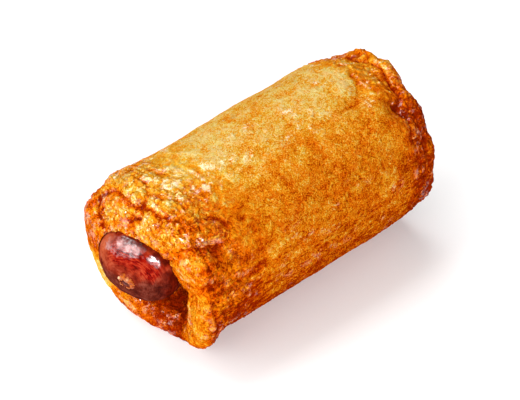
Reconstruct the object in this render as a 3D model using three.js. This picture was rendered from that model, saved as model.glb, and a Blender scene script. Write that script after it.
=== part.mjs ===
// A sausage roll: one tube of fried dough, folded in at both mouths, round a curved sausage that runs
// from end to end and looks out of them. Millimetres, +Z up.
//
// The roll lies along X on its flattened underside, with its open mouth towards -X. The origin is at the
// middle of the box that the part fills, on the surface that it rests on.
//
// Two coordinates are used all over the dough: x along the roll, and "around", the angle in degrees
// round it, which is 0 on the -Y side, 90 on top, 180 on the +Y side and 270 underneath.

import * as THREE from "three";

// Driving dimensions.
const ROLL_WIDTH = 49.2;
const ROLL_RISE = 23.2; // from the middle of its section to its top
const ROLL_SAG = 24.1; // from the middle to where its underside would be, if it had not settled flat
const ROLL_MIDDLE_Z = 22.6;
const ROLL_SQUARENESS = 2.4; // 2 is an ellipse, higher is boxier
const SAUSAGE_RADIUS = 11.7;
const SAUSAGE_CAP = 7.2; // length of each domed end
const SAUSAGE_BASE = { mouth: -41.3, far: 39.6 }; // where the domes begin
const SAUSAGE_MIDDLE = { y: 7.0, z: 25.6 };
// How far the sausage's ends bend towards -Y and down, by the time its centre line has gone its reach.
const SAUSAGE_BOW = { y: 5.8, z: 2.0, reach: 41.3, power: 2.6 };
const DOME_FULLNESS = 0.85; // 1 is half an ellipsoid, lower is blunter
const PUCKER = { radius: 2.2, rise: 0.5, dimple: 0.7 }; // where the skin was tied, at the tip of a dome
const FIT_GAP = 0.42; // between the dough and the sausage
const NARROWEST_BORE = 9.6; // how far the dough closes in over a dome
const FOLD_FADE = 3.0;
const FLOOR_DEPTH = 1.6; // from the hollow behind the lip to the bore

// How finely the surfaces are divided.
const DOUGH_STEPS_AROUND = 72;
const SAUSAGE_STEPS_AROUND = 28;
const BODY_STEPS = 26;
const ROW_CROWDING = 0.58; // how much closer the rows stand at the two ends
const BORE_STEPS = 8;
const DOME_STEPS = 7;
const ROD_STEPS = 9;
const SHOULDER_STEPS = 7;
const LIP_STEPS = 3;
const FLOOR_STEPS = 2;

// Girth of the roll along x, as a share of its full width and height.
const GIRTH = [
  [-46, 0.95],
  [-42, 0.97],
  [-36, 0.985],
  [-26, 0.958],
  [-18, 0.955],
  [0, 0.99],
  [12, 1.004],
  [24, 1.016],
  [32, 1.018],
  [39, 0.985],
  [47, 0.955],
];

// Each mouth, by its angle around: where the lip's front edge is along x, how far back its shoulder
// reaches, where the edge stands in the wall (0 is on the sausage, 1 on the outside), where its inner side
// stands, and how deep the dough is hollowed behind it.
const MOUTH = {
  columns: ["lip", "shoulder", "edge", "inside", "hollow"],
  keys: [
    [2, -43.2, 5.8, 0.14, 0.04, 2.2],
    [20, -43.4, 6.4, 0.1, 0.03, 1.8],
    [36, -42.8, 6.8, 0.1, 0.02, 1.4],
    [46, -43.4, 8.0, 0.1, 0.02, 1.4],
    [60, -43.4, 8.8, 0.1, 0.02, 1.4],
    [74, -43.8, 9.0, 0.12, 0.02, 1.4],
    [88, -44.0, 8.8, 0.12, 0.02, 1.4],
    [104, -43.9, 8.4, 0.12, 0.02, 1.4],
    [130, -43.4, 7.2, 0.07, 0.02, 0.8],
    [150, -43.4, 6.8, 0.05, 0.02, 0.7],
    [172, -43.8, 6.2, 0.06, 0.02, 0.7],
    [200, -43.9, 5.8, 0.12, 0.03, 0.9],
    [228, -43.8, 5.0, 0.28, 0.06, 1.6],
    [256, -43.2, 4.4, 0.6, 0.16, 3.2],
    [268, -42.5, 4.2, 0.64, 0.22, 4.0],
    [282, -40.2, 4.0, 0.68, 0.32, 4.4],
    [296, -39.5, 4.0, 0.72, 0.4, 5.2],
    [310, -40.8, 4.2, 0.64, 0.4, 6.4],
    [334, -41.8, 4.4, 0.48, 0.3, 6.0],
    [346, -42.4, 4.8, 0.28, 0.16, 4.6],
  ],
};

const FAR_MOUTH = {
  columns: ["lip", "shoulder", "edge", "inside", "hollow"],
  keys: [
    [0, 45.0, 3.8, 0.66, 0.3, 4.4],
    [40, 43.9, 4.0, 0.62, 0.24, 4.0],
    [70, 44.8, 4.2, 0.6, 0.2, 3.8],
    [90, 47.2, 3.8, 0.6, 0.18, 3.6],
    [110, 47.8, 3.6, 0.62, 0.18, 3.6],
    [150, 47.4, 4.0, 0.6, 0.2, 3.8],
    [200, 46.0, 4.2, 0.62, 0.24, 4.2],
    [250, 44.6, 4.0, 0.64, 0.26, 4.6],
    [310, 43.8, 3.8, 0.66, 0.3, 4.8],
    [335, 45.4, 3.8, 0.66, 0.3, 4.6],
  ],
};

// Folds of the dough, drawn over it as strokes: how wide the stroke is, how far it lifts the surface at its
// start and at its end, or sinks it where that is negative, and its path of [x, around] points.
const FOLDS = [
  // The mouth: the deep pleat at its corner, and the fold under it.
  {
    width: 3.0,
    lift: [-1.3, -1.3],
    path: [[-41.4, 43], [-39.5, 44], [-36.5, 43], [-33, 37], [-30.5, 30]],
  },
  {
    width: 2.6,
    lift: [-1.9, -0.6],
    path: [[-43.6, -5], [-42, 1], [-40, 8], [-37, 13], [-33, 13], [-28, 10]],
  },
  // The lips: upper, side, and the corner that hangs down to the underside.
  { width: 4.2, lift: [1.0, 0.9], path: [[-40.4, 56], [-40, 70], [-40.5, 86]] },
  { width: 3.4, lift: [1.1, 1.2], path: [[-39.6, 34], [-39.2, 29], [-39.2, 24]] },
  {
    width: 3.3,
    lift: [1.2, 1.3],
    path: [[-40.6, 3], [-40.4, -8], [-40.2, -22], [-40, -34], [-39.8, -42]],
  },
  {
    width: 3.6,
    lift: [-0.7, -1.3],
    path: [[-35, 2], [-34, -10], [-32.6, -22], [-31.4, -36], [-30.6, -48]],
  },
  { width: 3.0, lift: [-0.5, -0.8], path: [[-34.6, 34], [-33.5, 24], [-33, 14]] },
  // The top of the mouth's end, and the lump on its +Y side.
  { width: 2.2, lift: [-0.9, -0.5], path: [[-43, 92], [-38, 93], [-33, 90]] },
  { width: 3.6, lift: [0.8, 0.5], path: [[-41, 101], [-38, 104], [-35, 108]] },
  { width: 2.2, lift: [-1.5, -0.9], path: [[-45, 138], [-42, 142], [-37, 145]] },
  { width: 3.6, lift: [1.8, 1.2], path: [[-41.6, 158], [-41.4, 172], [-41.2, 186]] },
  { width: 2.6, lift: [-1.2, -0.8], path: [[-36.6, 158], [-36.4, 168], [-36.2, 184]] },
  // The far end: the crease where the dough was gathered, all round, and the fold that runs into it.
  {
    width: 2.5,
    lift: [-1.2, -2.0],
    path: [[41.6, 100], [41, 90], [40, 82], [38.8, 74], [37, 66], [34, 59]],
  },
  {
    width: 2.3,
    lift: [-2.0, -0.5],
    path: [[34, 59], [34.6, 52], [38, 46], [40, 36], [40.6, 24], [41, 0], [41, -22]],
  },
  {
    width: 2.4,
    lift: [-1.2, -1.2],
    path: [[41.6, 100], [41.8, 122], [41, 146], [40.6, 172], [40, 200], [39.4, 226]],
  },
  { width: 2.4, lift: [-0.7, -0.9], path: [[24.5, 76], [28, 78], [32, 84], [37, 89]] },
  { width: 3.0, lift: [1.0, 1.0], path: [[31, 66], [35, 68], [36.5, 74]] },
  { width: 3.6, lift: [1.3, 1.7], path: [[44, 106], [44, 94]] },
  { width: 4.0, lift: [0.7, 0.5], path: [[29, 50], [31, 44], [31.5, 34]] },
  // The lower side, which draws in towards the far end.
  { width: 9.0, lift: [-0.2, -1.6], path: [[-8, -46], [10, -48], [24, -50], [36, -50]] },
];

// Ruffles of the far rim: lobes that stand out all round it, outside the crease.
const RUFFLE = { lobes: 11, crest: 15, height: 0.45, start: 39.5, full: 42.5 };

const TURN = 360;
const radians = (degrees) => (degrees * Math.PI) / 180;
const mix = (a, b, share) => a + (b - a) * share;
const ease = (share) => share * share * (3 - 2 * share);
const clamp = (value) => Math.min(1, Math.max(0, value));
const roundPower = (value, power) => Math.sign(value) * Math.abs(value) ** power;

// The value in a table of [place, value, ...] rows at a place between its first and last rows.
function along(rows, place, column = 1) {
  const after = rows.findIndex((row) => row[0] >= place);
  if (after === 0) return rows[0][column];
  if (after < 0) return rows[rows.length - 1][column];
  const [low, high] = [rows[after - 1], rows[after]];
  return mix(low[column], high[column], ease((place - low[0]) / (high[0] - low[0])));
}

// The same for a table that goes once round, whose places are angles.
function around(table, angle) {
  const [start, ...values] = table.keys[0];
  const wrapped = start + ((((angle - start) % TURN) + TURN) % TURN);
  const rows = [...table.keys, [start + TURN, ...values]];
  return Object.fromEntries(table.columns.map((name, i) => [name, along(rows, wrapped, i + 1)]));
}

// A point of the roll's smooth outside.
function outside(x, angle) {
  const girth = along(GIRTH, x);
  const power = 2 / ROLL_SQUARENESS;
  const turn = radians(angle);
  const reach = Math.sin(turn) < 0 ? ROLL_SAG : ROLL_RISE;
  const y = (-ROLL_WIDTH / 2) * girth * roundPower(Math.cos(turn), power);
  const z = ROLL_MIDDLE_Z + reach * girth * roundPower(Math.sin(turn), power);
  return new THREE.Vector3(x, y, Math.max(z, 0));
}

// The sausage's centre line at x, with the two directions across it. Beyond its reach it runs on straight.
function centreLine(x) {
  const inside = Math.min(Math.max(x, -SAUSAGE_BOW.reach), SAUSAGE_BOW.reach);
  const share = Math.abs(inside) / SAUSAGE_BOW.reach;
  const drop = share ** SAUSAGE_BOW.power;
  const slope = (-SAUSAGE_BOW.power * share ** (SAUSAGE_BOW.power - 1) * Math.sign(x)) / SAUSAGE_BOW.reach;
  const place = new THREE.Vector3(
    x,
    SAUSAGE_MIDDLE.y - SAUSAGE_BOW.y * drop + SAUSAGE_BOW.y * slope * (x - inside),
    SAUSAGE_MIDDLE.z - SAUSAGE_BOW.z * drop + SAUSAGE_BOW.z * slope * (x - inside),
  );
  const forward = new THREE.Vector3(1, SAUSAGE_BOW.y * slope, SAUSAGE_BOW.z * slope).normalize();
  const up = new THREE.Vector3(0, 0, 1).addScaledVector(forward, -forward.z).normalize();
  const back = new THREE.Vector3().crossVectors(up, forward);
  return { place, forward, up, back };
}

// The sausage's radius at x: full along the rod, and shrinking over the domes.
function sausageRadius(x) {
  const beyond = Math.max(SAUSAGE_BASE.mouth - x, x - SAUSAGE_BASE.far, 0) / centreLine(x).forward.x;
  const depth = Math.min(beyond / SAUSAGE_CAP, 1);
  return SAUSAGE_RADIUS * (1 - depth * depth) ** (DOME_FULLNESS / 2);
}

// A point at a distance from that line, at an angle around it.
function besideLine(line, radius, angle) {
  return line.place
    .clone()
    .addScaledVector(line.back, -radius * Math.cos(radians(angle)))
    .addScaledVector(line.up, radius * Math.sin(radians(angle)));
}

// A point inside the dough's wall: 0 is its bore, which the sausage fills, and 1 is its outside.
function inWall(x, angle, share) {
  const reach = Math.max(sausageRadius(x), NARROWEST_BORE) + FIT_GAP;
  const bore = besideLine(centreLine(x), reach, angle);
  return bore.lerp(outside(x, angle), share);
}

// A point of the dough's smooth surface, over the body and down its two shoulders.
function onDough(x, angle) {
  const side = x < 0 ? -1 : 1;
  const end = around(x < 0 ? MOUTH : FAR_MOUTH, angle);
  const down = clamp(1 - (side * (end.lip - x)) / end.shoulder);
  return inWall(x, angle, mix(end.edge, 1, Math.sqrt(1 - down * down)));
}

// The rows of points over one end of the dough, from its outside over the lip and into the bore. side is
// -1 at the mouth and 1 at the far end, and each row is a function of the angle around.
function endRows(table, side) {
  const rows = [];
  for (let i = 0; i <= SHOULDER_STEPS; i++) {
    const turn = radians((90 * i) / SHOULDER_STEPS);
    rows.push((angle) => {
      const end = around(table, angle);
      const back = end.shoulder * (1 - Math.sin(turn));
      return inWall(end.lip - side * back, angle, mix(end.edge, 1, Math.cos(turn)));
    });
  }
  for (let i = 1; i <= LIP_STEPS; i++) {
    const turn = radians((90 * i) / LIP_STEPS);
    rows.push((angle) => {
      const end = around(table, angle);
      const back = end.hollow * (1 - Math.cos(turn));
      return inWall(end.lip - side * back, angle, mix(end.edge, end.inside, Math.sin(turn)));
    });
  }
  for (let i = 1; i <= FLOOR_STEPS; i++) {
    const share = i / FLOOR_STEPS;
    rows.push((angle) => {
      const end = around(table, angle);
      const back = end.hollow + FLOOR_DEPTH * share;
      return inWall(end.lip - side * back, angle, end.inside * (1 - share) ** 2);
    });
  }
  return rows;
}

// The rows between the two ends, over the outside or along the bore, closer together near the ends.
function betweenRows(steps, from, to, point) {
  return Array.from({ length: steps }, (_, i) => {
    const even = (i + 1) / (steps + 1);
    const share = even - (ROW_CROWDING * Math.sin(2 * Math.PI * even)) / (2 * Math.PI);
    return (angle) => point(mix(from(angle), to(angle), share), angle);
  });
}

function doughRows() {
  const mouth = endRows(MOUTH, -1);
  const far = endRows(FAR_MOUTH, 1);
  const shoulderAt = (table, side) => (angle) => {
    const end = around(table, angle);
    return end.lip - side * end.shoulder;
  };
  const floorAt = (table, side) => (angle) => {
    const end = around(table, angle);
    return end.lip - side * (end.hollow + FLOOR_DEPTH);
  };
  const body = betweenRows(BODY_STEPS, shoulderAt(MOUTH, -1), shoulderAt(FAR_MOUTH, 1), outside);
  const onBore = (x, angle) => inWall(x, angle, 0);
  const bore = betweenRows(BORE_STEPS, floorAt(FAR_MOUTH, 1), floorAt(MOUTH, -1), onBore);
  return [...mouth.reverse(), ...body, ...far, ...bore];
}

// How far the strokes lift a point of the dough.
function foldLift(point, strokes) {
  let lift = 0;
  const nearest = new THREE.Vector3();
  for (const stroke of strokes) {
    let best = { distance: Infinity, share: 0 };
    stroke.lines.forEach((line, i) => {
      const share = line.closestPointToPointParameter(point, true);
      const distance = line.at(share, nearest).distanceTo(point);
      if (distance < best.distance) best = { distance, share: (i + share) / stroke.lines.length };
    });
    lift += mix(...stroke.lift, best.share) * Math.exp(-((best.distance / stroke.width) ** 2));
  }
  return lift;
}

function ruffleLift(point, angle) {
  const share = ease(clamp((point.x - RUFFLE.start) / (RUFFLE.full - RUFFLE.start)));
  return share * RUFFLE.height * Math.cos(radians((angle - RUFFLE.crest) * RUFFLE.lobes));
}

// A grid of points that closes on itself both ways becomes one closed mesh.
function closedGrid(rows) {
  const steps = rows[0].length;
  const index = [];
  rows.forEach((_, i) => {
    const next = (i + 1) % rows.length;
    for (let j = 0; j < steps; j++) {
      const k = (j + 1) % steps;
      const [a, b, c, d] = [i * steps + j, next * steps + j, next * steps + k, i * steps + k];
      index.push(a, b, c, a, c, d);
    }
  });
  return new THREE.BufferGeometry().setFromPoints(rows.flat()).setIndex(index);
}

// A grid that closes round, with a point at each end.
function cappedGrid(first, rows, last) {
  const steps = rows[0].length;
  const points = [first, ...rows.flat(), last];
  const at = (i, j) => 1 + i * steps + (j % steps);
  const index = [];
  for (let j = 0; j < steps; j++) {
    index.push(0, at(0, j), at(0, j + 1));
    index.push(points.length - 1, at(rows.length - 1, j + 1), at(rows.length - 1, j));
    for (let i = 0; i + 1 < rows.length; i++) {
      index.push(at(i, j), at(i + 1, j), at(i + 1, j + 1));
      index.push(at(i, j), at(i + 1, j + 1), at(i, j + 1));
    }
  }
  return new THREE.BufferGeometry().setFromPoints(points).setIndex(index);
}

// The dough: its smooth rows, then every point moved along its normal by the folds and ruffles. Within
// FOLD_FADE of the sausage they fade out, so that nothing reaches it.
function makeDough() {
  const angles = Array.from({ length: DOUGH_STEPS_AROUND }, (_, j) => (TURN * j) / DOUGH_STEPS_AROUND);
  const smooth = doughRows().map((row) => angles.map((angle) => row(angle)));
  const strokes = FOLDS.map((fold) => {
    const points = fold.path.map(([x, angle]) => onDough(x, angle));
    return { ...fold, lines: points.slice(1).map((point, i) => new THREE.Line3(points[i], point)) };
  });
  const shape = closedGrid(smooth);
  shape.computeVertexNormals();
  const normals = shape.attributes.normal;
  const boreReach = SAUSAGE_RADIUS + FIT_GAP;
  const folded = smooth.map((row, i) =>
    row.map((point, j) => {
      const clear = point.distanceTo(centreLine(point.x).place) - boreReach;
      const freedom = ease(clamp(clear / FOLD_FADE));
      const normal = new THREE.Vector3().fromBufferAttribute(normals, i * angles.length + j);
      const lift = foldLift(point, strokes) + ruffleLift(point, angles[j]);
      const moved = point.clone().addScaledVector(normal, lift * freedom);
      moved.z = Math.max(moved.z, 0);
      return moved;
    }),
  );
  return closedGrid(folded);
}

// The rings of points over one domed end of the sausage, and the bottom of the pucker at its tip.
function domeRows(side) {
  const base = centreLine(side < 0 ? SAUSAGE_BASE.mouth : SAUSAGE_BASE.far);
  const ring = (depth, radius) =>
    besideRing({ ...base, place: base.place.clone().addScaledVector(base.forward, side * depth) }, radius);
  const rows = [];
  for (let i = 1; i < DOME_STEPS; i++) {
    const turn = radians((90 * i) / DOME_STEPS);
    rows.push(ring(SAUSAGE_CAP * Math.sin(turn), SAUSAGE_RADIUS * Math.cos(turn) ** DOME_FULLNESS));
  }
  rows.push(ring(SAUSAGE_CAP + PUCKER.rise, PUCKER.radius / 2));
  const pole = base.place.clone().addScaledVector(base.forward, side * (SAUSAGE_CAP - PUCKER.dimple));
  return { rows, pole };
}

function besideRing(line, radius) {
  return Array.from({ length: SAUSAGE_STEPS_AROUND }, (_, j) =>
    besideLine(line, radius, (TURN * j) / SAUSAGE_STEPS_AROUND),
  );
}

// The sausage: a bent rod with a domed, puckered end at each mouth.
function makeSausage() {
  const mouth = domeRows(-1);
  const far = domeRows(1);
  const rod = Array.from({ length: ROD_STEPS + 1 }, (_, i) =>
    besideRing(centreLine(mix(SAUSAGE_BASE.mouth, SAUSAGE_BASE.far, i / ROD_STEPS)), SAUSAGE_RADIUS),
  );
  return cappedGrid(mouth.pole, [...mouth.rows.reverse(), ...rod, ...far.rows], far.pole);
}

function piece(name, geometry, colour, roughness) {
  geometry.computeVertexNormals();
  const material = new THREE.MeshStandardMaterial({ color: colour, roughness, metalness: 0 });
  const mesh = new THREE.Mesh(geometry, material);
  mesh.name = name;
  return mesh;
}

const roll = new THREE.Group();
roll.add(piece("dough", makeDough(), 0xe09a35, 0.5));
roll.add(piece("sausage", makeSausage(), 0x8c2a1c, 0.25));

export default roll;
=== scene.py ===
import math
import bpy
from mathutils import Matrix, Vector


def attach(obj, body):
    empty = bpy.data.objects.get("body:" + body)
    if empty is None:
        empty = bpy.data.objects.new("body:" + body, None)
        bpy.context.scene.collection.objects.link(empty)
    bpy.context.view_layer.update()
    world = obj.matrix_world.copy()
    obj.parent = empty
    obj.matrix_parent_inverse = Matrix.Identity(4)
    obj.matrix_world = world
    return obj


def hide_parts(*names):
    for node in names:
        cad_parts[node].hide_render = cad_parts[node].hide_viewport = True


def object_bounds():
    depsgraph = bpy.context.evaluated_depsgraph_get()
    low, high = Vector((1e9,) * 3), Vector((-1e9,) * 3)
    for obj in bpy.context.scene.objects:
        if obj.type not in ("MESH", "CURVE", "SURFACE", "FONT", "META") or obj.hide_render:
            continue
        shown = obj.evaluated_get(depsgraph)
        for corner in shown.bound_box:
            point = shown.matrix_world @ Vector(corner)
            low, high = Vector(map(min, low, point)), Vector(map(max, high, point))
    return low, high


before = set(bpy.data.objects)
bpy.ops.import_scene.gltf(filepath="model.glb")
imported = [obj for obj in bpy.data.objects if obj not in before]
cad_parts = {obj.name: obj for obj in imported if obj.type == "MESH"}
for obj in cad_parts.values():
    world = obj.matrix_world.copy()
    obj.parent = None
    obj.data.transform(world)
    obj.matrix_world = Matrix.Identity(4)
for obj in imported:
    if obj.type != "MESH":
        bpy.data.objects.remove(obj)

# A fried sausage roll. The solids give the folded tube of dough and the bent sausage in it. This
# script gives the dough its blisters, creases and browning, and the sausage its skin, its tied tips
# and its gloss.
#
# Shapes are worked out in millimetres and stored in metres. Places on the dough are given as x along
# the roll and the angle around it, which is 0 on the -Y side, 90 on top, 180 on the +Y side and 270
# below.

from types import SimpleNamespace

import bpy
import numpy as np
from mathutils import Vector, noise
from mathutils.bvhtree import BVHTree

CAD_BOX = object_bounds()
MM = 0.001

# The noise that bends the relief starts from one seed, so that every run makes the same shapes.
SEED = 21
noise.seed_set(SEED)


# -------------------------------------------------------------------------------------------- helpers


def ease(low, high, value):
    """0 up to low, 1 from high on, and smooth between them. With high below low it falls instead."""
    share = np.clip((value - low) / (high - low), 0.0, 1.0)
    return share * share * (3 - 2 * share)


def band(start, full, fading, gone, value):
    """Rises from 0 at start to 1 at full, and falls from 1 at fading to 0 at gone."""
    return ease(start, full, value) * ease(gone, fading, value)


def hold(piece):
    """Makes a piece the only selected one, and active."""
    for other in list(bpy.context.selected_objects):
        other.select_set(False)
    piece.select_set(True)
    bpy.context.view_layer.objects.active = piece


def copy_of_node(node, name):
    """A new piece on a copy of a solid's mesh, with its loose triangles joined into quads."""
    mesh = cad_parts[node].data.copy()
    piece = bpy.data.objects.new(name, mesh)
    mesh.name = name
    bpy.context.scene.collection.objects.link(piece)
    hold(piece)
    bpy.ops.object.mode_set(mode="EDIT")
    bpy.ops.mesh.select_all(action="SELECT")
    bpy.ops.mesh.remove_doubles(threshold=0.001 * MM)
    bpy.ops.mesh.tris_convert_to_quads()
    bpy.ops.object.mode_set(mode="OBJECT")
    mesh.materials.clear()
    return piece


def worked(piece, kind, **settings):
    """Adds a modifier to a piece and applies it."""
    hold(piece)
    modifier = piece.modifiers.new(kind.title(), kind)
    for setting, value in settings.items():
        setattr(modifier, setting, value)
    bpy.ops.object.modifier_apply(modifier=modifier.name)


def smoothed(piece, share, iterations, least=0.05):
    """Smooths a piece where share is above least, and more where it is larger."""
    group = piece.vertex_groups.new(name="smoothed")
    for index in np.flatnonzero(share > least):
        group.add([int(index)], float(share[index]), "REPLACE")
    worked(piece, "SMOOTH", factor=0.5, iterations=iterations, vertex_group="smoothed")
    piece.vertex_groups.clear()


def points_of(piece):
    """A piece's points, in millimetres."""
    flat = np.empty(len(piece.data.vertices) * 3)
    piece.data.vertices.foreach_get("co", flat)
    return flat.reshape(-1, 3) / MM


def normals_of(piece):
    """The way out of a piece at each of its points."""
    flat = np.empty(len(piece.data.vertices) * 3)
    piece.data.vertices.foreach_get("normal", flat)
    return flat.reshape(-1, 3)


def put_points(piece, points):
    """Moves a piece's points to places in millimetres."""
    piece.data.vertices.foreach_set("co", (points * MM).ravel())
    piece.data.update()


def paint(piece, name, values):
    """Stores one value for each point, for the materials to read."""
    layer = piece.data.attributes.new(name, "FLOAT", "POINT")
    layer.data.foreach_set("value", np.asarray(values, dtype=np.float32))


def tree_of(piece):
    """A piece's faces, in millimetres, to measure distances from."""
    mesh = piece.data
    corners = [vertex.co.copy() / MM for vertex in mesh.vertices]
    return BVHTree.FromPolygons(corners, [tuple(face.vertices) for face in mesh.polygons])


def clearance(points, tree):
    """How far each point is from the nearest face in a tree, and the way to it."""
    nearest = np.array([tree.find_nearest(point)[0] for point in points.tolist()])
    away = np.linalg.norm(nearest - points, axis=1)
    return away, (nearest - points) / np.maximum(away, 1e-6)[:, None]


def chosen_faces(piece, test):
    """Selects in edit mode the faces whose middles, in millimetres, pass a test."""
    hold(piece)
    bpy.ops.object.mode_set(mode="EDIT")
    bpy.ops.mesh.select_mode(type="FACE")
    bpy.ops.mesh.select_all(action="DESELECT")
    bpy.ops.object.mode_set(mode="OBJECT")
    middles = np.empty(len(piece.data.polygons) * 3)
    piece.data.polygons.foreach_get("center", middles)
    piece.data.polygons.foreach_set("select", test(middles.reshape(-1, 3) / MM))
    bpy.ops.object.mode_set(mode="EDIT")


def clouds(points, size, stretch=(1, 1, 1), shift=0.0):
    """Soft noise from about -1 to 1. Its lumps are about size across, times stretch on each axis."""
    scaled = points / (np.array(stretch) * size) + shift
    return 2.0 * np.array([noise.noise(point) for point in scaled.tolist()])


def billows(points, size, stretch=(1, 1, 1), shift=0.0):
    """Rounded lumps about size across with sharp creases between them, from -0.6 up to 0.4."""
    return np.minimum(2.2 * np.abs(clouds(points, size, stretch, shift)), 1.0) ** 0.75 - 0.6


def pushes(points, size):
    """A smooth wandering push for each point, about 1 long at most."""
    return np.array([noise.noise_vector(point) for point in (points / size).tolist()])


def cells(points, size, warp, shift=0.0):
    """Uneven cells about size across: how deep each point is in its cell, and the cell's own number."""
    inside = []
    own = []
    for point in (points / size + shift).tolist():
        push = noise.noise_vector([1.3 * c for c in point])
        distances, corners = noise.voronoi([c + warp * p for c, p in zip(point, push)])
        inside.append(distances[1] - distances[0])
        x, y, z = corners[0]
        own.append(math.sin(12.9 * x + 78.2 * y + 37.7 * z))
    return np.array(inside), np.array(own)


# ------------------------------------------------------------------------------------------ the dough


# The roll's middle line, which the angles go round, and a radius that is outside it everywhere.
MIDDLE_Z = 22.6
OUTSIDE = 60.0

# The dough's faces are even. Its bore, within a small gap of the sausage, is unseen away from the two
# mouths and keeps a quarter of its faces there. The crumpled ends are split once more where they show.
DOUGH_VOXEL = 0.74
DOUGH_SMOOTHING = 3
BORE_GAP = 1.6
BORE_UNSEEN = (-36.0, 38.0)
BORE_FACES_KEPT = 0.25
FINE_ENDS = (-34.0, 34.5)
FINE_GAP = 1.0
RIMS = 40.0  # past this x, towards either end, the bore's own faces show too
FOOT = 1.0  # the underside, up to this height, isn't split

# Where each stretch of the roll begins along x, and from where it counts in full.
LIPS = (-36.0, -42.0)
MOUTH_END = (-12.0, -35.0)
FAR_END = (29.0, 35.0)
FAR_RIM = (40.5, 42.5)
LIP_EDGE = (-41.6, -43.2)

# The angles at which each side begins, is full, starts to fade and is gone.
FLANK = (-50.0, -30.0, 0.0, 30.0)
UPPER = (30.0, 50.0, 150.0, 175.0)
ABOVE = (15.0, 60.0, 160.0, 190.0)
BACK = (112.0, 135.0, 235.0, 260.0)
THIN_LIP = (180.0, 200.0, 222.0, 238.0)
LOW_RIM = (220.0, 235.0, 248.0, 262.0)
POCKET = (-75.0, -50.0, 10.0, 30.0)

# Gaps to the sausage: where the relief begins and is full in the bore and on the lips, where the skin
# begins to count as inside, and where the low rim is thin.
SKIN_CLEAR = (0.3, 1.3)
EDGE_CLEAR = (0.5, 3.2)
INSIDE_GAP = (2.6, 0.8)
RIM_GAP = (1.6, 0.6)
NEAREST = 0.3  # the relief stays this far from the sausage
DRAWN_IN = 0.15  # the dough is made this much thinner before its relief lifts it

# The lip is snug on the sausage behind its top, and leans over it by the mouth's corner: at which
# angles and along which x, from which gap to the sausage, and how far it moves at most. Where it is
# snug a small gap is left, and only what is clear of the bore leans over.
SNUG = SimpleNamespace(
    side=(112.0, 130.0, 190.0, 215.0), along=(-37.0, -41.0), gap=(3.6, 1.9), left=0.4, most=1.2
)
LEANING = SimpleNamespace(
    side=(-12.0, 4.0, 24.0, 36.0), along=(-37.0, -40.5), gap=(5.0, 2.6), clear=(0.6, 1.4), most=0.9
)
# Then the lip is smoothed where it is near the sausage, this many times.
LIP_SMOOTHING = SimpleNamespace(gap=(1.8, 0.8), along=(-34.0, -38.0), times=4)

# How high each kind of relief stands on plain skin, and how much higher on rough or streaked skin.
SWELL = 0.2
LUMPS = (0.14, 0.4)
STREAKS = (0.04, 0.14)
BLISTERS = (0.16, 0.2)
CRINKLES = (0.07, 0.05)
WRINKLES = (0.0, 0.2)

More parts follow.
